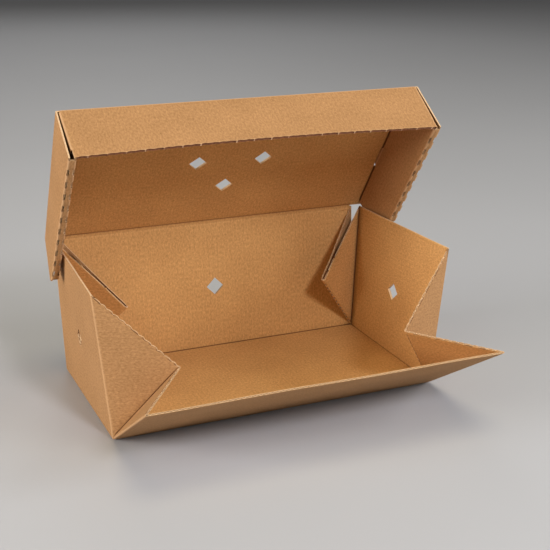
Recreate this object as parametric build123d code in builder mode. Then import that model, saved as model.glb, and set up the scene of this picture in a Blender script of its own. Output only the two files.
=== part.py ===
"""Long double burger box, folded from one sheet of fine corrugated board, standing open.

The frame is in millimetres: +Z is up, +X runs along the box and -Y is the open front. The origin
is under the middle of the base. Every panel is drawn on the sheet's middle surface and thickened
by half the board to each side, and a round bar along each crease carries the board round the bend.
The four corners are webs: two half-square triangles of the same sheet, folded inwards between an
end wall and the wall beside it, so the leans of the walls decide where each web's tip stands.
The lid is a tray of its own on the back wall's top crease. It narrows a little towards the hinge,
its front wall bows out between its ends, and its sides roll over a dust flap, end in a narrow hem
along the free edge and lock with a tab in a slot of the lid panel.
"""
import os
from math import cos, radians, sin, sqrt

from build123d import *

# The sheet
board = 1.5
crease_relief = 0.01
crease_radius = board / 2 - crease_relief
cut_overrun = 3.0

# The tray, measured between creases on the middle surface
base_length = 208.5
base_width = 108.8
wall_height = 88.8
end_lean_front_deg = 5.8
end_lean_back_deg = 2.5
back_lean_deg = 3.65
front_wall_rise_deg = 32.9
front_wall_flare = 2.6
web_sector_deg = 45.0

# The lid, measured in its own frame: across, out from the hinge, and down from the panel
lid_open_deg = 55.0
lid_panel_width = 230.9
lid_hinge_width = 224.3
lid_panel_reach = 112.0
lid_wall_drop = 36.0
lid_front_bow = 3.0
lid_front_stations = 9
side_flare = 0.7
hem_width = 3.55
inner_side_offset = 5.8
inner_side_gap = 0.6
side_wall_back_end = -0.4
side_corner_radius = 4.0
front_wall_width = 227.6
dust_flap_length = 32.0
dust_flap_drop = 28.0
dust_flap_end_drop = 20.0
dust_flap_end_inset = 0.8
hinge_clearance = 0.1
layer_clearance = 0.3

# The locking tabs and their slots
tab_reach = 49.6
tab_length = 17.0
tab_play = 0.7
slot_length = 19.0
slot_width = 2.4
tab_drop = 0.2

# The vents, and the nicks that weaken the hem's two creases
vent_diagonal = 12.0
wall_vent_height = 43.0
lid_vent_spacing = 44.0
lid_vent_front_reach = 59.0
lid_vent_back_reach = 36.3
nick_length = 5.0
nick_width = 0.9
nick_pitch = 10.1
nick_count = 10
nick_first = 9.6


def lean_vector(across, along, length, lean_deg):
    """A wall edge of the given length that leans off the vertical towards (across, along)."""
    lean = radians(lean_deg)
    return Vector(across * length * sin(lean), along * length * sin(lean), length * cos(lean))


def base_corner(side, end):
    """Corner of the base on the middle surface; side and end are -1 or 1."""
    return Vector(side * base_length / 2, end * base_width / 2, board / 2)


def web_tip(corner, first_top, second_top, inward):
    """Tip of a folded web, from the two crease lines that meet at the corner."""
    first = (first_top - corner).normalized()
    second = (second_top - corner).normalized()
    sector = cos(radians(web_sector_deg))
    opening = first.dot(second)
    mean_share = sector / (1 + opening)
    across = first.cross(second)
    left_over = 1 - 2 * mean_share * mean_share * (1 + opening)
    lift = sqrt(left_over / across.dot(across))
    mean = (first + second) * mean_share
    tips = [mean + across * lift, mean - across * lift]
    direction = max(tips, key=lambda tip: tip.dot(inward))
    return corner + direction * (wall_height / sqrt(2))


def panel_plane(corners):
    """Plane of a flat panel: origin at its first corner, x towards the second."""
    along = corners[1] - corners[0]
    return Plane(origin=corners[0], x_dir=along, z_dir=along.cross(corners[2] - corners[1]))


def flat_outline(corners):
    """The panel's corners as flat points on its own plane."""
    plane = panel_plane(corners)
    points = [plane.to_local_coords(corner) for corner in corners]
    return [(point.X, point.Y) for point in points]


hinge_rise = lean_vector(0, 1, wall_height, back_lean_deg)
hinge_middle = Vector(0, base_width / 2, board / 2) + hinge_rise
lid_out = Vector(0, -cos(radians(lid_open_deg)), sin(radians(lid_open_deg)))
lid_down = Vector(0, -sin(radians(lid_open_deg)), -cos(radians(lid_open_deg)))


def lid_point(across, reach, drop):
    """A point of the lid: across the box, out from the hinge, down from the lid panel."""
    return hinge_middle + Vector(across, 0, 0) + lid_out * reach + lid_down * drop


# Corner points of the tray
tray_panels = []
tray_creases = []
for side in (-1, 1):
    front_corner = base_corner(side, -1)
    back_corner = base_corner(side, 1)
    end_front_top = front_corner + lean_vector(side, 0, wall_height, end_lean_front_deg)
    end_back_top = back_corner + lean_vector(side, 0, wall_height, end_lean_back_deg)

    flap_run = Vector(side * front_wall_flare, -wall_height * cos(radians(front_wall_rise_deg)), 0)
    flap_top = front_corner + flap_run + Vector(0, 0, wall_height * sin(radians(front_wall_rise_deg)))
    back_length = wall_height - board / 2 - hinge_clearance
    back_top = back_corner + lean_vector(0, 1, back_length, back_lean_deg)

    front_tip = web_tip(front_corner, end_front_top, flap_top, Vector(-side, 0, 0))
    back_tip = web_tip(back_corner, end_back_top, back_top, Vector(-side, -1, 0))
    tray_panels.append([front_corner, end_front_top, front_tip])
    tray_panels.append([front_corner, flap_top, front_tip])
    tray_panels.append([back_corner, end_back_top, back_tip])
    tray_panels.append([back_corner, back_top, back_tip])
    for tip in (end_front_top, flap_top, front_tip):
        tray_creases.append((front_corner, tip))
    for tip in (end_back_top, back_top, back_tip):
        tray_creases.append((back_corner, tip))
    tray_creases.append((front_corner, back_corner))
    if side == -1:
        left_front = (front_corner, flap_top)
        left_back = (back_corner, back_top)

tray_panels.append([left_front[0], front_corner, back_corner, left_back[0]])
tray_panels.append([left_front[0], front_corner, flap_top, left_front[1]])
tray_panels.append([left_back[0], back_corner, back_top, left_back[1]])
tray_creases.append((left_front[0], front_corner))
tray_creases.append((left_back[0], back_corner))

with BuildPart() as tray:
    # Base, front wall, back wall and the eight triangles of the webs
    for corners in tray_panels:
        with BuildSketch(panel_plane(corners)):
            Polygon(*flat_outline(corners), align=None)
        extrude(amount=board / 2, both=True)

    # End walls: each is drawn leaning at the front and at the back, and twists between the two
    for side in (-1, 1):
        for end, lean_deg in ((-1, end_lean_front_deg), (1, end_lean_back_deg)):
            foot = base_corner(side, end)
            rise = lean_vector(side, 0, wall_height, lean_deg)
            section = Plane(origin=foot, x_dir=rise, z_dir=(0, 1, 0))
            with BuildSketch(section):
                Rectangle(wall_height, board, align=(Align.MIN, Align.CENTER))
        loft(ruled=True)

    # Creases, and the corners of the base where six of them meet
    for start, finish in tray_creases:
        with BuildSketch(Plane(origin=start, z_dir=finish - start)):
            Circle(crease_radius)
        extrude(amount=(finish - start).length)
    corner_points = [base_corner(side, end) for side in (-1, 1) for end in (-1, 1)]
    with Locations(*corner_points):
        Sphere(crease_radius)

    # A diamond vent in the back wall and in each end wall
    back_plane = panel_plane(tray_panels[-1])
    back_vent = Vector(0, base_width / 2, board / 2) + lean_vector(0, 1, wall_vent_height, back_lean_deg)
    with BuildSketch(Plane(origin=back_vent, x_dir=(1, 0, 0), z_dir=back_plane.z_dir)):
        Rectangle(vent_diagonal / sqrt(2), vent_diagonal / sqrt(2), rotation=45)
    extrude(amount=cut_overrun, both=True, mode=Mode.SUBTRACT)
    mean_lean_deg = (end_lean_front_deg + end_lean_back_deg) / 2
    for side in (-1, 1):
        rise = lean_vector(side, 0, wall_vent_height, mean_lean_deg)
        middle = Vector(side * base_length / 2, 0, board / 2) + rise
        with BuildSketch(Plane(origin=middle, x_dir=(0, 1, 0), z_dir=rise.cross(Vector(0, 1, 0)))):
            Rectangle(vent_diagonal / sqrt(2), vent_diagonal / sqrt(2), rotation=45)
        extrude(amount=cut_overrun, both=True, mode=Mode.SUBTRACT)

tray.part.label = "tray"

# Corner points of the lid
fold_x = lid_panel_width / 2
hinge_x = lid_hinge_width / 2
hem_drop = lid_wall_drop - board / 2
front_x = front_wall_width / 2
hem_out_x = fold_x + side_flare
hem_in_x = hem_out_x - hem_width
inner_top_x = fold_x - inner_side_offset
inner_top_drop = board / 2 + inner_side_gap
layer_front = lid_panel_reach - board / 2 - layer_clearance
hem_back = side_wall_back_end + side_corner_radius

lid_panels = []
lid_creases = []
lid_panels.append([lid_point(-hinge_x, 0, 0), lid_point(hinge_x, 0, 0),
                   lid_point(fold_x, lid_panel_reach, 0), lid_point(-fold_x, lid_panel_reach, 0)])
lid_creases.append((lid_point(-base_length / 2, 0, 0), lid_point(base_length / 2, 0, 0)))
lid_creases.append((lid_point(-fold_x, lid_panel_reach, 0), lid_point(fold_x, lid_panel_reach, 0)))
for side in (-1, 1):
    flap_end = lid_panel_reach - dust_flap_length
    flap_end_x = front_x - dust_flap_end_inset
    lid_panels.append([lid_point(side * front_x, lid_panel_reach, inner_top_drop),
                       lid_point(side * flap_end_x, flap_end, inner_top_drop),
                       lid_point(side * flap_end_x, flap_end, dust_flap_end_drop),
                       lid_point(side * front_x, lid_panel_reach, dust_flap_drop)])
    lid_panels.append([lid_point(side * hem_out_x, hem_back, hem_drop),
                       lid_point(side * hem_in_x, hem_back, hem_drop),
                       lid_point(side * hem_in_x, layer_front, hem_drop),
                       lid_point(side * hem_out_x, layer_front, hem_drop)])
    lid_panels.append([lid_point(side * hem_in_x, hem_back, hem_drop),
                       lid_point(side * hem_in_x, layer_front, hem_drop),
                       lid_point(side * inner_top_x, layer_front, inner_top_drop),
                       lid_point(side * inner_top_x, hem_back, inner_top_drop)])
    lid_panels.append([lid_point(side * inner_top_x, tab_reach - tab_length / 2, inner_top_drop),
                       lid_point(side * inner_top_x, tab_reach + tab_length / 2, inner_top_drop),
                       lid_point(side * inner_top_x, tab_reach + tab_length / 2, tab_drop - board / 2),
                       lid_point(side * inner_top_x, tab_reach - tab_length / 2, tab_drop - board / 2)])
    lid_creases.append((lid_point(side * hinge_x, 0, 0), lid_point(side * fold_x, lid_panel_reach, 0)))
    lid_creases.append((lid_point(side * front_x, lid_panel_reach, 0),
                        lid_point(side * front_x, lid_panel_reach, lid_wall_drop)))
    for crease_x in (hem_out_x, hem_in_x):
        lid_creases.append((lid_point(side * crease_x, hem_back, hem_drop),
                            lid_point(side * crease_x, layer_front, hem_drop)))

with BuildPart() as lid:
    # Slots in the lid panel first, so that the tabs added later stand free in them
    with BuildSketch(panel_plane(lid_panels[0])):
        Polygon(*flat_outline(lid_panels[0]), align=None)
        with Locations(*[(hinge_x + side * inner_top_x, tab_reach - tab_play) for side in (-1, 1)]):
            Rectangle(slot_width, slot_length, mode=Mode.SUBTRACT)
        vent_spots = [(hinge_x - lid_vent_spacing / 2, lid_vent_front_reach),
                      (hinge_x + lid_vent_spacing / 2, lid_vent_front_reach),
                      (hinge_x, lid_vent_back_reach)]
        with Locations(*vent_spots):
            Rectangle(vent_diagonal / sqrt(2), vent_diagonal / sqrt(2), rotation=45, mode=Mode.SUBTRACT)
    extrude(amount=board / 2, both=True)

    # Front wall: it leaves the fold squarely at its ends and leans out towards its middle
    for station in range(lid_front_stations):
        share = 2 * station / (lid_front_stations - 1) - 1
        top = lid_point(share * front_x, lid_panel_reach, 0)
        rim = lid_point(share * front_x, lid_panel_reach + lid_front_bow * (1 - share * share), lid_wall_drop)
        with BuildSketch(Plane(origin=top, x_dir=rim - top, z_dir=(1, 0, 0))):
            Rectangle((rim - top).length, board, align=(Align.MIN, Align.CENTER))
    loft(ruled=True)

    # Dust flaps, hems, inner side panels and tabs
    for corners in lid_panels[1:]:
        with BuildSketch(panel_plane(corners)):
            Polygon(*flat_outline(corners), align=None)
        extrude(amount=board / 2, both=True)

    # Outer side panels: each twists, because the panel's fold runs inwards to the hinge and the hem
    # does not. The lower back corner is rounded.
    for side in (-1, 1):
        for reach, top_x in ((side_wall_back_end, hinge_x), (lid_panel_reach, fold_x)):
            top = lid_point(side * top_x, reach, 0)
            foot = lid_point(side * hem_out_x, reach, hem_drop)
            with BuildSketch(Plane(origin=top, x_dir=foot - top, z_dir=lid_out)):
                Rectangle((foot - top).length, board, align=(Align.MIN, Align.CENTER))
        loft(ruled=True)
        corner = lid_point(side * hem_out_x, side_wall_back_end, hem_drop)
        with BuildSketch(Plane(origin=corner, x_dir=lid_out, z_dir=lid_down.cross(lid_out))):
            with Locations((side_corner_radius, side_corner_radius)):
                Rectangle(side_corner_radius + cut_overrun, side_corner_radius + cut_overrun,
                          align=(Align.MAX, Align.MAX))
                Circle(side_corner_radius, mode=Mode.SUBTRACT)
        extrude(amount=cut_overrun, both=True, mode=Mode.SUBTRACT)

    for start, finish in lid_creases:
        with BuildSketch(Plane(origin=start, z_dir=finish - start)):
            Circle(crease_radius)
        extrude(amount=(finish - start).length)

    # Nicks along both creases of each hem, cut from the hem's own plane
    nick_spots = [(side * crease_x, nick_first + number * nick_pitch)
                  for side in (-1, 1) for crease_x in (hem_out_x, hem_in_x) for number in range(nick_count)]
    with BuildSketch(Plane(origin=lid_point(0, 0, hem_drop), x_dir=(1, 0, 0), z_dir=lid_down)):
        with Locations(*nick_spots):
            Rectangle(nick_width, nick_length)
    extrude(amount=board, both=True, mode=Mode.SUBTRACT)

lid.part.label = "lid"

os.makedirs("parts", exist_ok=True)
export_step(tray.part, "parts/tray.step")
export_step(lid.part, "parts/lid.step")
for name, built in (("tray", tray), ("lid", lid)):
    box = built.part.bounding_box()
    print(name, "solids", len(built.part.solids()), "valid", built.part.is_valid, "volume",
          round(built.part.volume), "box", box.min, box.max)
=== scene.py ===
# %% [markdown]
# # A long burger box, folded from one sheet of corrugated board
# The real box is a single die-cut blank: base, walls, webbed corners and lid are one sheet of kraft
# board that is only creased and folded. So each half of it is modelled here as one thin sheet: a few
# corner points, one face for each panel, then the folds are softened, the vents are cut, the panels
# get a slight bow and the sheet gets its thickness last.

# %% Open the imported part
from math import ceil, cos, exp, pi, radians, sin, sqrt

import bmesh
import bpy
from mathutils import Matrix, Vector, noise
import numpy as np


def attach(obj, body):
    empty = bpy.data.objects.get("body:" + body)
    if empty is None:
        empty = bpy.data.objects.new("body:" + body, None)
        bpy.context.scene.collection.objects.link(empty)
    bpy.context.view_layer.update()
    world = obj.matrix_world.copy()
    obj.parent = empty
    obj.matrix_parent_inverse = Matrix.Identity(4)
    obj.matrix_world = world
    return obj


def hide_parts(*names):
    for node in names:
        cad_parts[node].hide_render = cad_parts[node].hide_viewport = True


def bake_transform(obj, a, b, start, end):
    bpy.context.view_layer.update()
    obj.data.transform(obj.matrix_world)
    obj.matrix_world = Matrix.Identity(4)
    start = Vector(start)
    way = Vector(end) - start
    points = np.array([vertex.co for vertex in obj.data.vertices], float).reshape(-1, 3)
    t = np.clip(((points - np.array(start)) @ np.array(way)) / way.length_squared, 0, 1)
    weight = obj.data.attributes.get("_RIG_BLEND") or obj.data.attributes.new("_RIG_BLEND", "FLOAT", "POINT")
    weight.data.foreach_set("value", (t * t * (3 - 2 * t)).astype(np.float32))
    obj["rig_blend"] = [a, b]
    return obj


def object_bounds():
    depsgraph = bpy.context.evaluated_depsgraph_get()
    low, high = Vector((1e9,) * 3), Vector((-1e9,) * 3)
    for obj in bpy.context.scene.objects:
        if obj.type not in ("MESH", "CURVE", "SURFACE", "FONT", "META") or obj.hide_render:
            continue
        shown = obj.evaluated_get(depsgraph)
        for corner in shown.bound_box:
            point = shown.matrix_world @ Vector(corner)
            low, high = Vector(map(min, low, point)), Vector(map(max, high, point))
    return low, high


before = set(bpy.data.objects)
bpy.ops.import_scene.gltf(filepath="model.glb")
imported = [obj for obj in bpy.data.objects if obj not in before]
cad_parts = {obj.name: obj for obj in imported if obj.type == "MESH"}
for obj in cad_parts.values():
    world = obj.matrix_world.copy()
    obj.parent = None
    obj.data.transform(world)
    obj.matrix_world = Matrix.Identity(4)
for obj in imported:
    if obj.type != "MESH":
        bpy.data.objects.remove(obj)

scene = bpy.context.scene
cad_low, cad_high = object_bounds()
print("the part reaches from", [round(x, 4) for x in cad_low], "to", [round(x, 4) for x in cad_high])

# %% [markdown]
# ## The sizes of the blank
# Everything is in metres, so a millimetre is given a name. The lengths are taken between creases, on
# the middle surface of the board, as a box maker dimensions a blank. Angles are in degrees.

# %% Board and tray sizes
mm = 0.001
board, flute_pitch = 1.5 * mm, 3.2 * mm
fold_radius, border_width, slice_step = 0.55 * mm, 0.9 * mm, 7.3 * mm
base_length, base_width, wall_height = 208.5 * mm, 108.8 * mm, 88.8 * mm
end_lean_front, end_lean_back, back_lean = 5.8, 2.5, 3.65
front_rise, front_flare, ear_gap = 32.9, 2.6 * mm, 0.85 * mm
vent, vent_height = 12 * mm, 43 * mm
sides = ((-1, "left"), (1, "right"))
right_way, back_way, up_way = Vector((1, 0, 0)), Vector((0, 1, 0)), Vector((0, 0, 1))

# %% Lid sizes
lid_open = 55.0
hinge_x, fold_x, lid_reach, wall_drop = 112.15 * mm, 115.45 * mm, 112 * mm, 36 * mm
front_bow, corner_radius = 3 * mm, 3.2 * mm
hem_drop = wall_drop - board / 2
hem_out_x, hem_in_x = 116.15 * mm, 112.6 * mm
inner_top_x, inner_top_drop = 109.65 * mm, 1.35 * mm
front_x, rim_x, flap_drop = 113.8 * mm, 113.5 * mm, 30 * mm
flap_end_x, flap_end_reach, flap_end_top, flap_end_drop = 113 * mm, 80 * mm, 2.35 * mm, 20 * mm
layer_front, hem_back, side_back = 110.2 * mm, 3.6 * mm, -0.4 * mm
nick_pitch, first_nick = 10.8 * mm, 111.6 * mm
tab_reach, tab_half, tab_taper, tab_top = 49.6 * mm, 8.5 * mm, 1 * mm, -0.55 * mm
slot_reach, slot_half, slot_across = 48.45 * mm, 9.05 * mm, 1.2 * mm
lid_vents = ((-22 * mm, 59 * mm), (22 * mm, 59 * mm), (0, 36.3 * mm))
hinge_band, hinge_half = 3 * mm, 102.6 * mm

# %% [markdown]
# ## Where the corners stand
# The four corners of the tray are webs: a square of board folded along its diagonal, so that the box
# holds liquids and can open again. The leans of two neighbouring walls fix the tip of the web, because
# both of its triangles keep a half-square's angle of 45 degrees at the corner.

# %% Corner points of the tray
def on_base(across, along):
    return Vector((across * base_length / 2, along * base_width / 2, board / 2))


def lean(across, along, length, degrees):
    tilt = radians(degrees)
    return Vector((across * length * sin(tilt), along * length * sin(tilt), length * cos(tilt)))


def web_tip(corner, first_top, second_top, inward):
    first, second = (first_top - corner).normalized(), (second_top - corner).normalized()
    share = cos(radians(45)) / (1 + first.dot(second))
    over = first.cross(second)
    lift = sqrt((1 - 2 * share * share * (1 + first.dot(second))) / over.dot(over))
    tips = [(first + second) * share + over * way * lift for way in (1, -1)]
    return corner + max(tips, key=lambda tip: tip.dot(inward)) * (wall_height / sqrt(2))


rise = radians(front_rise)
tray_points = {}
for side, mark in sides:
    front, back = on_base(side, -1), on_base(side, 1)
    end_front = front + lean(side, 0, wall_height, end_lean_front)
    end_back = back + lean(side, 0, wall_height, end_lean_back)
    lip = front + Vector((side * front_flare, -wall_height * cos(rise), wall_height * sin(rise)))
    top = back + lean(0, 1, wall_height - ear_gap, back_lean)
    wall_side = back + lean(0, 1, wall_height - hinge_band, back_lean)
    tray_points |= {
        f"front {mark}": front, f"back {mark}": back, f"lip {mark}": lip, f"top {mark}": top,
        f"end front {mark}": end_front, f"end back {mark}": end_back,
        f"front web {mark}": web_tip(front, end_front, lip, Vector((-side, 0, 0))),
        f"back web {mark}": web_tip(back, end_back, top, Vector((-side, -1, 0))),
        f"band {mark}": Vector((side * hinge_half, *wall_side.yz)),
        f"ear {mark}": Vector((side * hinge_half, *top.yz))}
print("tips of the webs:", [[round(x, 4) for x in tray_points[k]] for k in tray_points if "web" in k])

# %% [markdown]
# ## Panels by name
# Each panel is written down as the corner points around it. The base comes first, because its upper
# side tells which side of the whole sheet is the inside of the box.

# %% Panels of the tray
def twins(around, mark):
    return {f"{name} {mark}": [f"{spot} {mark}" for spot in ring] for name, ring in around.items()}


tray_panels = {
    "base": ["front left", "front right", "back right", "back left"],
    "back wall": ["back left", "back right", "top right", "ear right", "band right", "band left",
                  "ear left", "top left"],
    "front wall": ["front right", "front left", "lip left", "lip right"]}
around_end = {
    "end": ["back", "front", "end front", "end back"],
    "front web end": ["front", "end front", "front web"], "front web wall": ["front", "front web", "lip"],
    "back web end": ["back", "end back", "back web"], "back web wall": ["back", "back web", "top"]}
for _, mark in sides:
    tray_panels |= twins(around_end, mark)
print(len(tray_panels), "panels in the tray")

# %% [markdown]
# The lid has a frame of its own: across the box, out from the hinge, and down from the lid panel. Its
# sides roll over: an outer panel, a narrow hem along the free edge, and an inner panel with a tab that
# locks in a slot. The front wall carries a dust flap at each end, which the rolled side traps.

# %% Corner points and panels of the lid
hinge = on_base(0, 1) + lean(0, 1, wall_height, back_lean)
lid_out = Vector((0, -cos(radians(lid_open)), sin(radians(lid_open))))
lid_down = Vector((0, -sin(radians(lid_open)), -cos(radians(lid_open))))


def in_lid(across, reach, drop):
    return hinge + right_way * across + lid_out * reach + lid_down * drop


lid_points = {}
lid_panels = {
    "lid": ["rear left", "step left", "band left", "band right", "step right", "rear right",
            "fold right", "corner right", "corner left", "fold left"],
    "lid front": ["corner left", "corner right", "flap high right", "flap low right", "rim right",
                  "rim left", "flap low left", "flap high left"]}
for side, mark in sides:
    spots = {
        "rear": (hinge_x, 0, 0), "step": (hinge_half, 0.2 * mm, 0), "band": (hinge_half, hinge_band, 0),
        "fold": (fold_x, lid_reach, 0), "corner": (front_x, lid_reach, 0),
        "flap high": (front_x, lid_reach, inner_top_drop), "flap low": (rim_x, lid_reach, flap_drop),
        "rim": (rim_x, lid_reach, wall_drop),
        "flap end high": (flap_end_x, flap_end_reach, flap_end_top),
        "flap end low": (flap_end_x, flap_end_reach, flap_end_drop),
        "side low back": (hem_out_x, side_back, hem_drop),
        "side low front": (hem_out_x, lid_reach, hem_drop),
        "hem out back": (hem_out_x, hem_back, hem_drop),
        "hem out front": (hem_out_x, layer_front, hem_drop),
        "hem in back": (hem_in_x, hem_back, hem_drop), "hem in front": (hem_in_x, layer_front, hem_drop),
        "inner front": (inner_top_x, layer_front, inner_top_drop),
        "tab front": (inner_top_x, tab_reach + tab_half, inner_top_drop),
        "tab top front": (inner_top_x, tab_reach + tab_half - tab_taper, tab_top),
        "tab top back": (inner_top_x, tab_reach - tab_half + tab_taper, tab_top),
        "tab back": (inner_top_x, tab_reach - tab_half, inner_top_drop),
        "inner back": (inner_top_x, hem_back, inner_top_drop)}
    for name, (x, reach, drop) in spots.items():
        lid_points[f"{name} {mark}"] = in_lid(side * x, reach, drop)
around_side = {
    "side": ["rear", "fold", "side low front", "hem out front", "hem out back", "side low back"],
    "hem": ["hem out back", "hem out front", "hem in front", "hem in back"],
    "inner side": ["hem in back", "hem in front", "inner front", "tab front", "tab back", "inner back"],
    "tab": ["tab back", "tab front", "tab top front", "tab top back"],
    "dust flap": ["flap high", "flap end high", "flap end low", "flap low"]}
for _, mark in sides:
    lid_panels |= twins(around_side, mark)
print(len(lid_panels), "panels in the lid")

# %% [markdown]
# ## From corners to a sheet
# A bmesh can start from a few vertices. With one vertex for each corner and one face for each panel,
# neighbours share their crease by themselves, and Blender can turn all the normals one way. Every face
# remembers its panel in a whole-number layer, which survives all the cutting that follows.

# %% Lay out a sheet
def face_inwards(sheet, inward):
    bmesh.ops.recalc_face_normals(sheet, faces=sheet.faces[:])
    sheet.faces.ensure_lookup_table()
    if sheet.faces[0].normal.dot(inward) < 0:
        bmesh.ops.reverse_faces(sheet, faces=sheet.faces[:])


def lay_out(points, panels, inward):
    sheet = bmesh.new()
    tag = sheet.faces.layers.int.new("panel")
    corners = {name: sheet.verts.new(place) for name, place in points.items()}
    for number, names in enumerate(panels.values(), 1):
        sheet.faces.new([corners[name] for name in names])[tag] = number
    face_inwards(sheet, inward)
    return sheet, tag


tray, tray_tag = lay_out(tray_points, tray_panels, up_way)
lid, lid_tag = lay_out(lid_points, lid_panels, lid_down)
print("tray:", len(tray.edges), "edges; lid:", len(lid.edges), "edges")

# %% [markdown]
# ## Folds and cut edges
# Before anything is rounded, the straight edges are noted. An edge between two panels is a fold, and it
# is a valley or a ridge seen from inside the box. An edge with one panel is a cut edge of the board.

# %% Note the folds and the cut edges
def note_edges(sheet, tag, panels):
    names, folds, cuts = list(panels), [], []
    for edge in sheet.edges:
        start, finish = (v.co.copy() for v in edge.verts)
        touching = {names[face[tag] - 1] for face in edge.link_faces}
        if len(edge.link_faces) == 2:
            one, other = edge.link_faces
            valley = (other.calc_center_median() - start).dot(one.normal) > 0
            folds.append((start, finish, 1 if valley else -1, touching))
        else:
            cuts.append((start, finish, touching))
    return folds, cuts


tray_folds, tray_cuts = note_edges(tray, tray_tag, tray_panels)
lid_folds, lid_cuts = note_edges(lid, lid_tag, lid_panels)
print("tray:", len(tray_folds), "folds; lid:", len(lid_folds), "folds")

# %% [markdown]
# ## Soft folds
# Board doesn't fold to a knife edge: the liner stretches round a small radius. The bevel operator rounds
# all folds at once while the sheet still has only a few large faces, which is when it works best.

# %% Round the folds
def bevel(sheet, geometry, radius, segments, kind="EDGES"):
    return bmesh.ops.bevel(sheet, geom=geometry, offset=radius, offset_type="OFFSET", segments=segments,
                           profile=0.5, affect=kind, clamp_overlap=True, material=-1)["faces"]


def creases_of(sheet):
    return [edge for edge in sheet.edges if len(edge.link_faces) == 2]


def soften(sheet, tag):
    made = bevel(sheet, creases_of(sheet), fold_radius, 3)
    for face in made:
        face[tag] = 0
    return len(made)


print("faces along the folds:", soften(tray, tray_tag), soften(lid, lid_tag))

# %% [markdown]
# The lower back corner of each lid side is rounded on the real box, so that it clears the wall. One
# vertex is bevelled for that.

# %% Round the lid's lower back corners
low_backs = [vert for vert in lid.verts for _, mark in sides
             if (vert.co - lid_points[f"side low back {mark}"]).length < 0.1 * mm]
bevel(lid, low_backs, corner_radius, 4, "VERTICES")
print("rounded", len(low_backs), "corners")

# %% [markdown]
# Each panel also gets a border 0.9 mm wide, by insetting its face. The border keeps the shading and
# the colour of a fold close to the fold, and the waves of a cut edge close to the edge.

# %% Give each panel a border
def border(sheet, tag):
    for face in [face for face in sheet.faces if face[tag] > 0]:
        number = face[tag]
        made = bmesh.ops.inset_individual(sheet, faces=[face], thickness=border_width, depth=0,
                                          use_even_offset=True)
        for side_face in made["faces"]:
            side_face[tag] = number
    return len(sheet.faces)


print("faces with borders:", border(tray, tray_tag), border(lid, lid_tag))

# %% [markdown]
# ## Vents and slots
# A vent is a diamond punched through the board. Four cuts isolate a square cell of the panel and four
# slanting cuts take off its corners; the face left in the middle is deleted. A slot needs only the cell.

# %% Find a panel, and slice a sheet
def find(name):
    if name in tray_panels:
        return tray, tray_tag, list(tray_panels).index(name) + 1
    return lid, lid_tag, list(lid_panels).index(name) + 1


def faces_of(*names):
    sheet, tag, _ = find(names[0])
    numbers = [find(name)[2] for name in names]
    return [face for face in sheet.faces if face[tag] in numbers]


def verts_of(faces):
    return {vert for face in faces for vert in face.verts}


def slice_with(sheet, place, direction, faces=None, merge=1e-7):
    if faces is None:
        chosen = sheet.verts[:] + sheet.edges[:] + sheet.faces[:]
    else:
        chosen = [*verts_of(faces), *{edge for face in faces for edge in face.edges}, *faces]
    bmesh.ops.bisect_plane(sheet, geom=chosen, dist=merge, plane_co=place, plane_no=direction)


# %% Punch a hole in a panel
def punch(name, middle, across, up, half_across, half_up, pointed=False):
    sheet, tag, number = find(name)

    def near(face, wide, high):
        away = face.calc_center_median() - middle
        return face[tag] == number and abs(away.dot(across)) < wide and abs(away.dot(up)) < high

    def cut(place, direction, wide=1, high=1):
        slice_with(sheet, place, direction, [face for face in sheet.faces if near(face, wide, high)])

    for way in (-1, 1):
        cut(middle + across * half_across * way, across)
    for way in (-1, 1):
        cut(middle + up * half_up * way, up, half_across)
    if pointed:
        for along, over in ((1, 1), (1, -1), (-1, 1), (-1, -1)):
            slant = across * along / half_across + up * over / half_up
            cut(middle + across * half_across * along, slant.normalized(), half_across, half_up)
    inside = [face for face in sheet.faces if near(face, 0.3 * half_across, 0.3 * half_up)]
    bmesh.ops.delete(sheet, geom=inside, context="FACES")


# %% Vents of the tray
vents, end_ups = [], {}


def punch_vent(name, middle, across, up):
    punch(name, middle, across, up, vent / 2, vent / 2, pointed=True)
    vents.append(middle)


back_up = lean(0, 1, 1, back_lean)
punch_vent("back wall", on_base(0, 1) + back_up * vent_height, right_way, back_up)
for side, mark in sides:
    up = end_ups[mark] = lean(side, 0, 1, (end_lean_front + end_lean_back) / 2)
    punch_vent(f"end {mark}", on_base(side, 0) + up * vent_height, back_way, up)
print("tray faces after the vents:", len(tray.faces))

# %% Vents and slots of the lid
for across, reach in lid_vents:
    punch_vent("lid", in_lid(across, reach, 0), right_way, lid_out)
for side, _ in sides:
    punch("lid", in_lid(side * inner_top_x, slot_reach, 0), right_way, lid_out, slot_across, slot_half)
print("lid faces after the vents and slots:", len(lid.faces))

# %% [markdown]
# Where the inner side panels stand on the lid panel, the photograph has a dark line. It is painted shade,
# the shade of a narrow gap, so it is noted with the folds for the colour, and the panel is sliced beside it.

# %% Note the line of painted shade under each inner side panel
shade_line_x, shade_line_end_x = inner_top_x - 0.7 * mm, inner_top_x - 1.9 * mm
for side, _ in sides:
    for x in (shade_line_end_x, shade_line_x):
        slice_with(lid, in_lid(side * x, 0, 0), right_way, merge=1e-6)
    lid_folds.append((in_lid(side * shade_line_x, hem_back, 0), in_lid(side * shade_line_x, layer_front, 0), 1,
                      {"lid", "inner edge"}))
print("lid faces with the lines:", len(lid.faces))

# %% [markdown]
# ## Perforated folds
# The two folds of the hem are perforated, 5 mm cut and 5 mm left, so that the stiff board turns sharply
# there. The cuts bite a little into the panels beside the folds as well, on the left and on the right not
# into the same ones. The web's diagonal crosses the flutes at a slant and tears open at each of them: there
# each cut is a small notch, and its rim is painted dark, as the shade inside the notch. The narrow faces
# of the fold are sliced at the ends of every cut, and those in between are taken out.

# %% Perforate a fold
fold_reach, bite_reach, plain_end = 0.5 * mm, 0.85 * mm, 2.5 * mm


def shade_layer(sheet):
    layers = sheet.verts.layers.float
    return layers.get("torn") or layers.new("torn")


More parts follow.
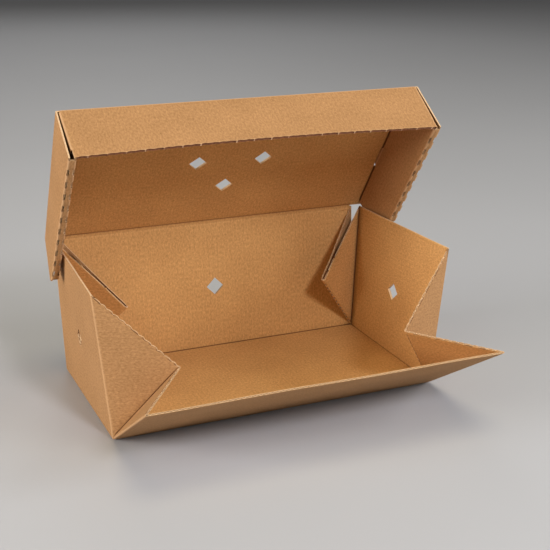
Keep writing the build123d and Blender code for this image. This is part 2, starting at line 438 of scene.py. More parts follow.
def perforate(sheet, tag, start, finish, first, pitch, length, torn_panels=(), notch_shade=0):
    dark = shade_layer(sheet)
    run = finish - start
    along = run.normalized()

    def strip():
        for face in sheet.faces:
            away = face.calc_center_median() - start
            beside = (away - along * away.dot(along)).length
            if face[tag] == 0 and beside < fold_reach or face[tag] in torn_panels and beside < bite_reach:
                yield face, away.dot(along)

    cuts, spot = [], first
    while spot + length < run.length - plain_end:
        cuts.append(spot)
        spot += pitch
    for spot in cuts:
        for end in (spot, spot + length):
            slice_with(sheet, start + along * end, along, [face for face, _ in strip()])
    gone = [face for face, at in strip() if any(spot < at < spot + length for spot in cuts)]
    # The rim of each cut gets painted shade, the shade inside the notch.
    for vert in verts_of(gone):
        vert[dark] = notch_shade
    bmesh.ops.delete(sheet, geom=gone, context="FACES")
    return len(cuts)


# %% Perforate the hems and the webs
slant_pitch = 4.5 * mm
hem_cuts = {"first": 7.1 * mm, "pitch": 10.1 * mm, "length": 5 * mm}
web_cuts = {"first": 6 * mm, "pitch": slant_pitch, "length": 2.1 * mm}
outer_bite, inner_bite, wall_bite = 1.05 * mm, 0.65 * mm, 0.95 * mm
bitten = {("left", hem_out_x): ["hem"], ("left", hem_in_x): ["hem", "inner side"],
          ("right", hem_out_x): ["hem", "side"], ("right", hem_in_x): ["hem"]}
for side, mark in sides:
    for x, bite_x in ((hem_out_x, hem_out_x - outer_bite), (hem_in_x, hem_in_x + inner_bite)):
        torn_panels = [find(f"{name} {mark}")[2] for name in bitten[mark, x]]
        for name in bitten[mark, x]:
            faces = faces_of(f"{name} {mark}")
            if name == "hem":
                slice_with(lid, in_lid(side * bite_x, 0, 0), right_way, faces)
            else:
                slice_with(lid, in_lid(0, 0, hem_drop - wall_bite), lid_down, faces)
        count = perforate(lid, lid_tag, in_lid(side * x, 0, hem_drop),
                          in_lid(side * x, layer_front, hem_drop), **hem_cuts, torn_panels=torn_panels)
    for end, notch_shade in (("front", 0.8), ("back", 0.3)):
        perforate(tray, tray_tag, tray_points[f"{end} {mark}"], tray_points[f"{end} web {mark}"],
                  **web_cuts, notch_shade=notch_shade)
print(count, "cuts along each fold of the hem")

# %% [markdown]
# ## Fine slices
# A bow needs points to move, so the sheet is sliced by planes across its own directions. Slicing the
# whole sheet at once keeps it in one piece, because every slice runs on through the folds.

# %% Slice both sheets
def slice_up(sheet, origin, directions):
    for direction in directions:
        spans = [(vert.co - origin).dot(direction) for vert in sheet.verts]
        for count in range(ceil(min(spans) / slice_step), ceil(max(spans) / slice_step)):
            slice_with(sheet, origin + direction * (count * slice_step), direction, merge=2e-5)
    return len(sheet.faces)


beside_folds = (1.1 * mm, 1.3 * mm, 0.9 * mm)
print("tray:", slice_up(tray, Vector(beside_folds), [right_way, back_way, up_way]), "faces; lid:",
      slice_up(lid, in_lid(*beside_folds), [right_way, lid_out, lid_down]), "faces")

# %% [markdown]
# ## Rough cut edges
# Where a cut crosses the flutes at a slant, as on the webs, the board tears a little at each flute and the
# edge is toothed; one layer of a back web ends a little lower than the other. Straight across the flutes
# the edge has small nicks where the blank was held in its sheet. Along the flutes it is smooth. The cut
# edges are subdivided to 0.6 mm and their points are moved in the plane of the panel. How torn a point
# is gets noted for the colour: the deep teeth get painted shade, the shade in the bites between them, and
# the worn rim of the lid's front wall is pale.

# %% Roughen the cut edges
edge_step, fade_length = 0.6 * mm, 1.5 * mm
deep_tooth, tooth_shade, rim_shade = -0.3, 0.75, -0.9


def roughen(sheet, cuts, wave_for):
    moved, dark = 0, shade_layer(sheet)
    for start, finish, touching in cuts:
        wave = wave_for(touching, start, finish)
        if wave is None:
            continue
        run = finish - start
        along = run.normalized()

        def on_line(vert):
            away = vert.co - start
            t = away.dot(along)
            return -0.2 * mm < t < run.length + 0.2 * mm and (away - along * t).length < 0.05 * mm

        by_count = {}
        for edge in sheet.edges:
            if len(edge.link_faces) == 1 and all(on_line(vert) for vert in edge.verts):
                by_count.setdefault(ceil(edge.calc_length() / edge_step) - 1, []).append(edge)
        for count, edges in by_count.items():
            if count > 0:
                bmesh.ops.subdivide_edges(sheet, edges=edges, cuts=count, use_grid_fill=False)
        for vert in sheet.verts:
            if vert.is_boundary and on_line(vert):
                t = (vert.co - start).dot(along)
                outward = along.cross(vert.link_faces[0].normal)
                if outward.dot(vert.link_faces[0].calc_center_median() - vert.co) > 0:
                    outward.negate()
                fade = min(1, t / fade_length, (run.length - t) / fade_length)
                vert.co += outward * (wave(t) * mm) * max(0, fade)
                # Deep teeth get painted shade, the shade in the bites.
                if wave is slanting_wave and wave(t) < deep_tooth:
                    vert[dark] = tooth_shade
                if "lid front" in touching:
                    vert[dark] = rim_shade
                moved += 1
    return moved


# %% The waves of the cut edges, in millimetres
def ragged(t, steps, seed):
    return noise.noise(Vector((t * steps, *seed)))


def slanting_wave(t):
    bite = exp(-(((t % slant_pitch) - 2.2 * mm) / (0.8 * mm)) ** 2)
    return 0.1 - 0.62 * bite + 0.3 * ragged(t, 900, (3.1, 0.7))


def nicked_wave(start, finish):
    way = 1 if finish.x > start.x else -1

    def wave(t):
        x = start.x + way * t
        nick = exp(-(((x + first_nick) % nick_pitch - nick_pitch / 2) / (0.4 * mm)) ** 2)
        scallop = sin(2 * pi * x / (nick_pitch / 2))
        return 0.3 * nick + 0.12 * scallop + 0.16 * ragged(x, 600, (7.7, 0.2)) - 0.4

    return wave


tray_waves = {
    "front wall": lambda t: 0.2 * ragged(t, 350, (1.9, 5.5)) + 0.1 * ragged(t, 1100, (2, 3)) - 0.15,
    "back web end": lambda t: 0.15 * ragged(t, 700, (4.1, 2.2)) - 0.7,
    "back web wall": lambda t: 0.12 * ragged(t, 700, (9.3, 6.1)) - 0.1,
    "web": slanting_wave}


def tray_edge(touching, start, finish):
    return next((wave for words, wave in tray_waves.items()
                 if any(words in name for name in touching)), None)


def lid_edge(touching, start, finish):
    is_rim = "lid front" in touching and abs(finish.x - start.x) > front_x
    return nicked_wave(start, finish) if is_rim else None


print("edge points moved:", roughen(tray, tray_cuts, tray_edge), roughen(lid, lid_cuts, lid_edge))

# %% [markdown]
# ## The flat blank as a map
# The flutes and the fibres run one way over the whole blank, and turn with each panel when it is folded.
# So every panel gets its place on the flat blank as its UV map: x across the flutes and y along them, in
# metres. Materials that read this map stay in line over every fold.

# %% Map the tray on the blank
def square_to(direction, towards):
    return (towards - direction * towards.dot(direction)).normalized()


tray_maps = {
    "base": (on_base(0, 0), right_way, back_way, (0, 0)),
    "back wall": (on_base(0, 1), right_way, back_up, (0, base_width / 2)),
    "front wall": (on_base(0, -1), right_way, Vector((0, cos(rise), -sin(rise))), (0, -base_width / 2))}
for side, mark in sides:
    flat_x = side * base_length / 2
    tray_maps[f"end {mark}"] = (on_base(side, 0), end_ups[mark] * side, back_way, (flat_x, 0))
    for way, end, far in ((-1, "front", "lip"), (1, "back", "top")):
        corner = tray_points[f"{end} {mark}"]
        diagonal = tray_points[f"{end} web {mark}"] - corner
        flat = (flat_x, way * base_width / 2)
        up_end = (tray_points[f"end {end} {mark}"] - corner).normalized()
        up_wall = (tray_points[f"{far} {mark}"] - corner).normalized()
        tray_maps |= {
            f"{end} web end {mark}": (corner, up_end * side, square_to(up_end, diagonal) * way, flat),
            f"{end} web wall {mark}": (corner, square_to(up_wall, diagonal) * side, up_wall * way, flat)}
print("places for", len(tray_maps), "panels of the tray")

# %% Map the lid on the blank
hinge_flat = base_width / 2 + wall_height
front_flat = hinge_flat + lid_reach
hem_flat = fold_x + hem_drop
inner_flat = hem_flat + hem_out_x - hem_in_x
lid_maps = {"lid": (hinge, right_way, lid_out, (0, hinge_flat)),
            "lid front": (in_lid(0, lid_reach, 0), right_way, lid_down, (0, front_flat))}
for side, mark in sides:
    inner_map = (in_lid(side * hem_in_x, 0, hem_drop), -lid_down * side, lid_out,
                 (side * inner_flat, hinge_flat))
    lid_maps |= {
        f"side {mark}": (in_lid(side * fold_x, 0, 0), lid_down * side, lid_out, (side * fold_x, hinge_flat)),
        f"hem {mark}": (in_lid(side * hem_out_x, 0, hem_drop), -right_way, lid_out,
                        (side * hem_flat, hinge_flat)),
        f"inner side {mark}": inner_map, f"tab {mark}": inner_map,
        f"dust flap {mark}": (in_lid(side * front_x, lid_reach, 0), -lid_out * side, lid_down,
                              (side * front_x, front_flat))}


def map_sheet(sheet, tag, panels, maps):
    names, layer = list(panels), sheet.loops.layers.uv.new("blank")
    for face in sheet.faces:
        number = face[tag]
        if number == 0:
            beside = [other[tag] for edge in face.edges for other in edge.link_faces if other[tag] > 0]
            number = beside[0] if beside else 1
        origin, across, up, flat = maps[names[number - 1]]
        for loop in face.loops:
            away = loop.vert.co - origin
            loop[layer].uv = (flat[0] + away.dot(across), flat[1] + away.dot(up))


map_sheet(tray, tray_tag, tray_panels, tray_maps)
map_sheet(lid, lid_tag, lid_panels, lid_maps)
print("mapped both sheets on the blank")

# %% [markdown]
# ## The lid's front wall
# The wall is held at its two ends by the rolled sides and free between them, so it bows out: its free edge
# stands 3 mm forward in the middle. It is bowed only now, after the map of the blank has been taken flat.

# %% Bow the lid's front wall out
bowed = 0
for vert in verts_of(faces_of("lid front")):
    place = vert.co - hinge
    share = max(0, 1 - (place.x / front_x) ** 2) * place.dot(lid_down) / wall_drop
    vert.co += lid_out * front_bow * share
    bowed = max(bowed, front_bow * share)
print("front wall bowed by", round(bowed / mm, 2), "mm")

# %% [markdown]
# ## A slight bow
# A folded panel is never quite flat. Each point is pushed along its normal by a slow noise that fades out
# at the folds, where the neighbours hold the board.

# %% Bow the panels
held_width, usual_depth = 16 * mm, 0.3 * mm


def to_line(point, start, finish):
    run = finish - start
    t = max(0, min(1, (point - start).dot(run) / run.length_squared))
    return (point - start - run * t).length


def bow(sheet, tag, panels, folds, depths, seed):
    names, moves = list(panels), []
    sheet.normal_update()
    for vert in sheet.verts:
        tags = {face[tag] for face in vert.link_faces}
        if 0 in tags or len(tags) != 1:
            continue
        held = min(to_line(vert.co, fold[0], fold[1]) for fold in folds)
        give = 1 - exp(-(held / held_width) ** 2)
        slow = noise.noise(vert.co * 14 + Vector((seed, 0, 0))) + 0.35 * noise.noise(vert.co * 38)
        name = names[tags.pop() - 1]
        depth = next((size for words, size in depths.items() if words in name), usual_depth)
        moves.append((vert, vert.normal * (depth * give * (slow + 0.3))))
    for vert, move in moves:
        vert.co += move
    return max(move.length for _, move in moves)


hinge_line = (hinge - right_way * hinge_half, hinge + right_way * hinge_half, 1, {"lid"})
tray_depths = {"web": 0.35 * mm, "end": 0.8 * mm, "back wall": 0.8 * mm, "front wall": 0.5 * mm,
               "base": 0.25 * mm}
lid_depths = {"lid front": 0.5 * mm, "lid": 0.8 * mm}
deepest = (bow(tray, tray_tag, tray_panels, tray_folds + [hinge_line], tray_depths, 1.7),
           bow(lid, lid_tag, lid_panels, lid_folds + [hinge_line], lid_depths, 8.4))
print("deepest bow in the tray and in the lid:", [round(depth / mm, 2) for depth in deepest], "mm")

# %% [markdown]
# The two triangles of a back web lie against each other near their fold. The bow must not press one into
# the other, so each is pushed off until the two are a board apart.

# %% Hold the two layers of each back web apart
half_gap, gap_start, corner_fade = 1.05 * mm, 1.2 * mm, 4 * mm


def part_layers(mark):
    corner, tip = tray_points[f"back {mark}"], tray_points[f"back web {mark}"]
    middle = (tray_points[f"end back {mark}"] + tray_points[f"top {mark}"]) / 2
    fold_way = (tip - corner).normalized()
    into = square_to(fold_way, middle - tip)
    over = fold_way.cross(into)
    for kind, far in (("end", f"end back {mark}"), ("wall", f"top {mark}")):
        sign = 1 if (tray_points[far] - tip).dot(over) > 0 else -1
        for vert in verts_of(faces_of(f"back web {kind} {mark}")):
            away = vert.co - corner
            held = 1 - exp(-(to_line(vert.co, corner, tray_points[far]) / corner_fade) ** 2)
            apart = half_gap * held * (1 - exp(-max(0, away.dot(into)) / gap_start))
            vert.co += over * sign * max(0, apart - abs(away.dot(over)))


for _, mark in sides:
    part_layers(mark)
print("back webs parted by", round(2 * half_gap / mm, 1), "mm")

# %% [markdown]
# ## Thickness
# The sheet becomes board last. Solidify gives it 1.5 mm, half to each side, and a vertex group makes it
# thinner along the folds, where the creasing rule has crushed the flutes, and along the cut edges, where
# the knife has pinched them. The modifier is applied, so that the cut edges can be worked on: they are set
# back a little between the two liners. The front edges of the lid's sides, the tray's cuts along the
# flutes and the vents stay plain and pale, all but the vent of the left end wall, which shows its flutes
# with the painted shade of their hollows.
#
# Two measures go with each point: how far the board is crushed there, and how much it is bent, which
# gives it its colour later: painted shade in a hollow and a partly painted highlight on a ridge. For the
# bend a hollow counts as negative and a ridge as positive. The marks of the cut edges, painted shade in
# notches and teeth and a pale worn rim, and the painted shade of the pockets below go into the bend too.

# %% Measure the folds at a point
crush_width, shade_width = 0.9 * mm, 0.5 * mm
shade_widths = {("back web end", "end"): 1.3 * mm, ("back wall", "lid"): 0.36 * mm,
                ("back wall", "base"): 0.8 * mm}


def fold_marks(point, folds):
    crush, bend = 0.0, 0.0
    for start, finish, way, touching in folds:
        near = to_line(point, start, finish)
        kinds = tuple(sorted(name.replace(" left", "").replace(" right", "") for name in touching))
        if "inner edge" not in touching:
            crush = max(crush, exp(-(near / crush_width) ** 2))
        bend += way * exp(-(near / shade_widths.get(kinds, shade_width)) ** 2)
    return crush, max(-1, min(1, bend))


def meets_crease(point):
    away = point - hinge
    return abs(away.x) < hinge_half + 0.1 * mm and away.yz.length < hinge_band + 0.3 * mm


def on_toothed_edge(point):
    away = point - hinge
    return (away.dot(lid_out) > lid_reach - 1.5 * mm and away.dot(lid_down) > wall_drop - 1.6 * mm
            and abs(away.x) < rim_x - 0.5 * mm)


# %% [markdown]
# Some faces look at each other from close by and are in deep shade: the two layers of a back web, the
# corner that a back web makes with its end wall, and the inside of the lid's rolled sides.

# %% Note the pockets in deep shade
web_depth, front_fade = 30 * mm, 6 * mm
corner_shade, flap_shade = 0.32, 0.45


def web_pockets():
    inner, outer = {}, {}
    for _, mark in sides:
        corner, tip = tray_points[f"back {mark}"], tray_points[f"back web {mark}"]
        for vert in verts_of(faces_of(f"back web end {mark}", f"back web wall {mark}")):
            outer[vert.index] = exp(-(to_line(vert.co, corner, tip) / web_depth) ** 4)
        for vert in verts_of(faces_of(f"back web end {mark}", f"end {mark}")):
            near = to_line(vert.co, corner, tray_points[f"end back {mark}"])
            inner[vert.index] = corner_shade * exp(-(near / corner_fade) ** 2)
    return inner, outer


def side_pockets():
    inner, outer = {}, {}
    for _, mark in sides:
        for vert in verts_of(faces_of(f"side {mark}", f"hem {mark}", f"inner side {mark}")):
            near_front = exp(-((lid_reach - (vert.co - hinge).dot(lid_out)) / front_fade) ** 2)
            inner[vert.index] = 1 - 0.4 * near_front
        for vert in verts_of(faces_of(f"dust flap {mark}")):
            outer[vert.index] = flap_shade
    return inner, outer


# %% Give a sheet its board
pinched = 0.4
inner_slot, outer_slot, cut_slot, core_slot, toothed_slot = range(5)


def put_in_scene(name, content):
    made = bpy.data.objects.new(name, content)
    scene.collection.objects.link(made)
    return made


def make_board(name, sheet, folds, crushed=0.35, pockets=({}, {})):
    def pinch(vert):
        at_edge = vert.is_boundary and not meets_crease(vert.co) and not on_toothed_edge(vert.co)
        by_vent = any((vert.co - middle).length <= 0.7 * vent for middle in vents)
        return pinched if at_edge and not by_vent else 0

    marks = [fold_marks(vert.co, folds) for vert in sheet.verts]
    dark = shade_layer(sheet)
    torn = [vert[dark] for vert in sheet.verts]
    shares = [1 - max(crushed * crush, pinch(vert)) for (crush, _), vert in zip(marks, sheet.verts)]
    mesh = bpy.data.meshes.new(name)
    sheet.to_mesh(mesh)
    sheet.free()
    piece = put_in_scene(name, mesh)
    for finish in finishes:
        mesh.materials.append(finish)
    full = piece.vertex_groups.new(name="full board")
    for index, share in enumerate(shares):
        full.add([index], share, "REPLACE")
    solid = piece.modifiers.new("board", "SOLIDIFY")
    solid.thickness, solid.offset = board, 0
    solid.use_even_offset, solid.use_quality_normals = False, True
    solid.vertex_group, solid.thickness_vertex_group = "full board", 0
    solid.material_offset, solid.material_offset_rim = outer_slot - inner_slot, cut_slot - inner_slot
    ready = piece.evaluated_get(bpy.context.evaluated_depsgraph_get())
    piece.data = bpy.data.meshes.new_from_object(ready)
    piece.modifiers.clear()
    piece.vertex_groups.clear()
    piece.data.name = name
    half = len(marks)
    # The bend carries painted shade and highlight: the marks of the cut edges and the pockets are taken off
    # it.
    bends_and_shade = [way * bend - tear_and_shade for way in (-1, 1) for (_, bend), tear_and_shade in zip(marks, torn)]
    for offset, shades in zip((0, half), pockets):
        for index, shade in shades.items():
            bends_and_shade[offset + index] -= shade
    for title, values in (("fold", bends_and_shade), ("layer", [0.0] * half + [1.0] * half)):
        piece.data.attributes.new(title, "FLOAT", "POINT").data.foreach_set("value", values)
    return piece


# %% Set the fluted core back in the cut edges
plain_vents = [spot for spot in vents if spot.x > -base_length / 2]
sharp_angle = 14


def set_back_core(piece, liner_width, depth, plain_along_flutes=False):
    edge = bmesh.new()
    edge.from_mesh(piece.data)
    blank = edge.loops.layers.uv["blank"]

    def stays_plain(face):
        middle = face.calc_center_median()
        away = middle - hinge
        if any((middle - spot).length < 0.6 * vent for spot in plain_vents):
            return True
        if away.dot(lid_out) > lid_reach - 0.3 * mm and abs(away.x) > front_x + 0.6 * mm:
            return True
        across, along = ([loop[blank].uv[k] for loop in face.loops] for k in (0, 1))
        return plain_along_flutes and max(across) - min(across) < 0.4 * (max(along) - min(along))

    rim = [face for face in edge.faces if face.material_index == cut_slot and not stays_plain(face)]
    bmesh.ops.inset_region(edge, faces=rim, thickness=liner_width, depth=-depth, use_boundary=True,
                           use_even_offset=False)
    for face in rim:
        face.material_index = core_slot
    for face in edge.faces:
        if face.material_index > outer_slot and on_toothed_edge(face.calc_center_median()):
            face.material_index = toothed_slot
    edge.to_mesh(piece.data)
    edge.free()
    for polygon in piece.data.polygons:
        polygon.use_smooth = True
    piece.data.set_sharp_from_angle(angle=radians(sharp_angle))


def keep_inside(piece):
    for vert in piece.data.vertices:
        vert.co = [min(max(x, low), high) for x, low, high in zip(vert.co, cad_low, cad_high)]


# %% [markdown]
# ## The finish of kraft board
# Kraft liner is matte and brown. From close by it has slow cloudy tones, short fibres along the flutes, a
# few dark flecks, and the flutes that show through as faint stripes. All of it is read from the map of the
# blank, so the stripes turn with the panels. Folds get painted shade in the hollow, and the ridge is paler,
# partly from the stretched fibres and partly as a painted highlight. Each helper adds a node to the node
# tree of the socket that it is given.

# %% Small helpers for nodes
def add(tree, kind, inputs={}, **settings):
    made = tree.nodes.new("ShaderNode" + kind)
    for name, value in settings.items():
        setattr(made, name, value)
    for name, value in inputs.items():
        if isinstance(value, bpy.types.NodeSocket):
            tree.links.new(value, made.inputs[name])
        else:
            made.inputs[name].default_value = value
    return made


def blend_colours(share, first, second):
    return add(share.id_data, "Mix", {0: share, 6: first, 7: second}, data_type="RGBA").outputs[2]


def maths(operation, first, second=0, third=0):
    return add(first.id_data, "Math", {0: first, 1: second, 2: third}, operation=operation).outputs[0]


def ramp(value, start, end, first=0, last=1):
    return add(value.id_data, "MapRange", {"Value": value, "From Min": start, "From Max": end,
                                           "To Min": first, "To Max": last}).outputs[0]


def cloudy(place, scale, detail=3, roughness=0.5):
    return add(place.id_data, "TexNoise", {"Vector": place, "Scale": scale, "Detail": detail,
                                           "Roughness": roughness}).outputs[0]


def stretch(place, across, along):
    return add(place.id_data, "Mapping", {"Vector": place, "Scale": (across, along, 1)}).outputs[0]


def across_flutes(place):
    return add(place.id_data, "SeparateXYZ", {0: place}).outputs[0]


def flute_wave(place):
    return maths("SINE", maths("MULTIPLY", across_flutes(place), 2 * pi / flute_pitch))


# %% Start and end a finish
def start_finish(name):
    finish = bpy.data.materials.new(name)
    finish.use_nodes = True
    finish.node_tree.nodes.clear()
    return finish, add(finish.node_tree, "UVMap", uv_map="blank").outputs[0]


def attribute(finish, name):
    return add(finish.node_tree, "Attribute", attribute_name=name).outputs["Fac"]


def end_finish(finish, colour, roughness, specular, height=None, strength=0, depth=0):
    tree = finish.node_tree
    inputs = {"Base Color": colour, "Roughness": roughness, "Specular IOR Level": specular}
    if height:
        bump = add(tree, "Bump", {"Height": height, "Strength": strength, "Distance": depth})
        inputs["Normal"] = bump.outputs[0]
    add(tree, "OutputMaterial", {0: add(tree, "BsdfPrincipled", inputs).outputs[0]})
    return finish


# %% The two liners
def liner(name, pale, deep, hollow, ridge):
    finish, place = start_finish(name)
    grain = cloudy(stretch(place, 980, 520), 1, 4, 0.65)
    flute = flute_wave(place)
    tone = maths("MULTIPLY_ADD", cloudy(place, 34), 1.1, -0.1)
    speckle = maths("MULTIPLY_ADD", grain, 3.8, -1.4)
    mixed = maths("ADD", maths("MULTIPLY", tone, 0.45), maths("MULTIPLY", speckle, 0.55))
    body = blend_colours(maths("MULTIPLY_ADD", flute, 0.035, mixed), deep, pale)
    flecks = ramp(cloudy(stretch(place, 620, 330), 1, 1), 0.70, 0.84, 0, 0.5)
    body = blend_colours(flecks, body, (deep[0] * 0.55, deep[1] * 0.5, deep[2] * 0.45, 1))
    fold = attribute(finish, "fold")
    # Painted shade in the hollows of folds, notches and pockets, and a pale ridge that is partly stretched
    # fibre and partly painted highlight.
    body = blend_colours(ramp(fold, -0.08, -0.6, 0, 0.92), body, hollow)
    body = blend_colours(ramp(fold, 0.1, 1, 0, 0.5), body, ridge)
    relief = maths("ADD", maths("MULTIPLY", grain, 0.5), maths("MULTIPLY", flute, 0.12))
    return end_finish(finish, body, ramp(grain, 0, 1, 0.74, 0.92), 0.22, relief, 0.35, 0.12 * mm)


# %% [markdown]
# A cut edge shows two liners and, between them, the fluted core: a wave of thin paper, with painted shade in
# the hollows between its flutes.
# The wave is drawn from the map of the blank and from which liner is nearer. Where the cut runs along a
# flute, the same rule gives the smooth flank of the wave.

# %% Cut edges and the fluted core
def cut_liner(name):
    finish, place = start_finish(name)
    fibres = cloudy(place, 1400)
    body = blend_colours(fibres, (0.46, 0.27, 0.13, 1), (0.84, 0.60, 0.36, 1))
    return end_finish(finish, body, 0.9, 0.15, fibres, 0.5, 0.15 * mm)


def fluted_core(name):
    finish, place = start_finish(name)
    middle = maths("MULTIPLY_ADD", flute_wave(place), 0.42, 0.5)
    away = maths("ABSOLUTE", maths("SUBTRACT", attribute(finish, "layer"), middle))
    paper = ramp(away, 0.12, 0.3, 1, 0)
    # Painted shade in the open hollows between the flutes.
    hollow = blend_colours(cloudy(place, 1100), (0.13, 0.055, 0.022, 1), (0.30, 0.16, 0.07, 1))
    body = blend_colours(paper, hollow, (0.62, 0.41, 0.22, 1))
    return end_finish(finish, body, 0.95, 0.1, paper, 0.6, 0.3 * mm)


# %% [markdown]
# The free edge of the lid's front wall looks down and was cut with a toothed knife. It is ragged, and its
# dark colour is painted shade, as the edge looks down away from the light, with a small bright nick every
# 10.8 mm where the blank was held in its sheet.

# %% The toothed edge, dark with painted shade
def shaded_toothed_edge(name):
    finish, place = start_finish(name)
    steps = maths("DIVIDE", maths("ADD", across_flutes(place), first_nick), nick_pitch)
    away = maths("ABSOLUTE", maths("SUBTRACT", maths("FRACT", steps), 0.5))
    nick = maths("MULTIPLY", ramp(away, 0.015, 0.05, 1, 0), ramp(cloudy(place, 70, 0), 0.4, 0.6))
    body = blend_colours(cloudy(place, 900), (0.05, 0.016, 0.008, 1), (0.30, 0.13, 0.065, 1))
    return end_finish(finish, blend_colours(nick, body, (0.66, 0.43, 0.25, 1)), 0.95, 0.1)


# The two liners are the same kraft. The inner one has a paler, warmer colour than the outer one: painted
# light, standing in for the warm light bounced about inside the box.
finishes = [
    liner("kraft_inner_liner_warm_lit", (0.735, 0.41, 0.151, 1), (0.425, 0.217, 0.068, 1),
          (0.11, 0.035, 0.009, 1), (0.78, 0.47, 0.24, 1)),
    liner("kraft_outer_liner_dimmed", (0.523, 0.277, 0.115, 1), (0.285, 0.142, 0.052, 1),
          (0.12, 0.042, 0.013, 1), (0.70, 0.43, 0.23, 1)),
    cut_liner("kraft_cut_liner"), fluted_core("kraft_fluted_core"), shaded_toothed_edge("kraft_toothed_edge_shaded")]
print("finishes:", [finish.name for finish in finishes])

# %% [markdown]
# ## Tray and lid
# Now both sheets become board. Each stands for the solid of the same name, and rides on its body.

# %% Make the tray and the lid
for name, sheet, folds, find_pockets in (("tray", tray, tray_folds, web_pockets),
                                         ("lid", lid, lid_folds, side_pockets)):
    sheet.verts.index_update()
    piece = make_board(f"{name}_board", sheet, folds, pockets=find_pockets())
    set_back_core(piece, liner_width=0.2 * mm, depth=0.15 * mm, plain_along_flutes=name == "tray")
    keep_inside(piece)
    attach(piece, name)
    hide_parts(name)
    print(name, "has", len(piece.data.polygons), "faces")

# %% [markdown]
# ## The hinge crease
# The lid turns on a crease along the back wall's top. A crease is two soft bends with a narrow crushed band
# between them. It crosses the joint, so it is a strip of its own, from 3 mm down the wall to 3 mm out on the
# lid, and it is blended between the two bodies: it bends as the lid turns.

# %% Make the hinge crease
wall_down = -back_up
wall_bend, lid_bend, bend_radius = 1.5 * mm, 0.9 * mm, 0.4 * mm
profile = [hinge + wall_down * hinge_band, hinge + wall_down * wall_bend, hinge + lid_out * lid_bend,
           hinge + lid_out * hinge_band]
band = bmesh.new()
band_tag = band.faces.layers.int.new("panel")
chain = [band.verts.new(place - right_way * hinge_half) for place in profile]
rails = [band.edges.new(pair) for pair in zip(chain, chain[1:])]
grown = bmesh.ops.extrude_edge_only(band, edges=rails)
bmesh.ops.translate(band, verts=[v for v in grown["geom"] if isinstance(v, bmesh.types.BMVert)],
                    vec=right_way * 2 * hinge_half)
face_inwards(band, -back_way)
band_maps = {"back wall": tray_maps["back wall"], "lid": lid_maps["lid"]}
for face in band.faces:
    face[band_tag] = 2 if (face.calc_center_median() - hinge).dot(lid_out) > 0 else 1
band_folds, _ = note_edges(band, band_tag, band_maps)
bevel(band, creases_of(band), bend_radius, 2)
slice_up(band, Vector(beside_folds), [right_way])
map_sheet(band, band_tag, band_maps, band_maps)
print("sheet of the crease:", len(band.faces), "faces")

# %% [markdown]
# The bend beside the lid is the sharper one, so its line gets more painted shade than the one beside the
# wall.

# %% Give the hinge crease its board
band_folds.sort(key=lambda fold: (fold[0] - hinge).dot(lid_out))
band_folds = [(start, finish, way * shade, {"back wall", "lid"})
              for (start, finish, way, _), shade in zip(band_folds, (0.2, 0.7))]
crease = make_board("hinge_crease", band, band_folds, crushed=0.3)
set_back_core(crease, liner_width=0.24 * mm, depth=0.05 * mm)
keep_inside(crease)
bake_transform(crease, "tray", "lid", start=hinge + wall_down * 2.6 * mm, end=hinge + lid_out * 2.6 * mm)
print("hinge crease:", len(crease.data.polygons), "faces")

# %% [markdown]
# ## Floor, light and camera
# The box stands on a plain pale floor. A small lamp in front and above gives the shadow of the back web on
# the wall. Large soft ones at both sides and overhead fill the hollows, and a weak one behind shows the
# outline. The lens and the camera's place come from the corners of the box as the photograph shows them.

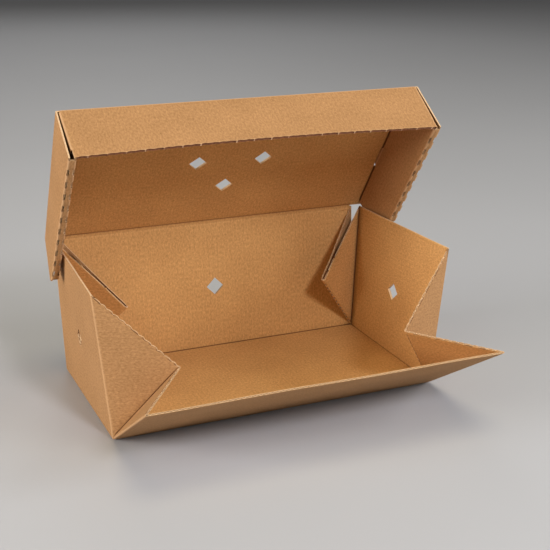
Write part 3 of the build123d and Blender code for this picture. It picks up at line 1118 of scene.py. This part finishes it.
# %% Floor
floor_half, floor_gap = 3.0, 0.1 * mm
ground = bmesh.new()
bmesh.ops.create_grid(ground, x_segments=2, y_segments=2, size=floor_half)
floor_mesh = bpy.data.meshes.new("floor")
ground.to_mesh(floor_mesh)
ground.free()
floor = put_in_scene("floor", floor_mesh)
floor_finish = bpy.data.materials.new("floor_finish")
floor_finish.use_nodes = True
tree = floor_finish.node_tree
shader = tree.nodes["Principled BSDF"]
tone = cloudy(add(tree, "TexCoord").outputs["Object"], 3, 2)
grey = blend_colours(tone, (0.45, 0.45, 0.46, 1), (0.48, 0.48, 0.49, 1))
tree.links.new(grey, shader.inputs["Base Color"])
shader.inputs["Roughness"].default_value = 0.55
floor_mesh.materials.append(floor_finish)
floor_mesh.transform(Matrix.Translation((0, 0, -floor_gap)))
print("floor:", 2 * floor_half, "m wide")

# %% Light
target, world_strength = Vector((0, 0, 0.06)), 0.06
lamps = {  # place seen from the target, diameter, watts, colour
    "front_lamp": ((0.14, -1.29, 0.93), 0.28, 11.4, (0.9, 0.91, 1.0)),
    "left_lamp": ((-1.1, -0.9, 1.0), 0.9, 4.8, (1.0, 1.0, 0.76)),
    "side_lamp": ((-2.2, -0.15, 0.6), 1.1, 44, (1.0, 0.97, 0.98)),
    "right_lamp": ((1.4, -0.9, 0.7), 0.9, 23, (0.93, 0.96, 1.0)),
    "top_lamp": ((0.1, -0.3, 1.6), 0.9, 7.8, (1.0, 0.87, 0.6)),
    "back_lamp": ((0.4, 1.9, 1.1), 1.2, 6, (1.0, 1.0, 1.0))}
for name, (place, size, power, colour) in lamps.items():
    lamp = bpy.data.lights.new(name, "AREA")
    lamp.shape, lamp.size, lamp.energy, lamp.color = "DISK", size, power, colour
    stand = put_in_scene(name, lamp)
    stand.location = target + Vector(place)
    stand.rotation_euler = (target - stand.location).to_track_quat("-Z", "Y").to_euler()
world = bpy.data.worlds.new("studio")
scene.world = world
world.use_nodes = True
sky = world.node_tree.nodes["Background"]
sky.inputs["Color"].default_value = (1.0, 1.0, 1.0, 1)
sky.inputs["Strength"].default_value = world_strength
scene.view_settings.view_transform = "Standard"
print("lamps:", list(lamps))

# %% Camera
camera_place, camera_yaw, camera_pitch, camera_roll = (-0.2546, -0.6240, 0.2971), -23.739, -18.687, -0.408
lens = bpy.data.cameras.new("camera")
lens.sensor_width, lens.lens = 36, 74.01
camera = put_in_scene("camera", lens)
turn = Matrix.Identity(4)
for degrees, axis in ((camera_yaw, "Z"), (camera_pitch, "X"), (camera_roll, "Y"), (90, "X")):
    turn = turn @ Matrix.Rotation(radians(degrees), 4, axis)
camera.matrix_world = Matrix.Translation(camera_place) @ turn
scene.camera = camera
print("camera at", camera_place)
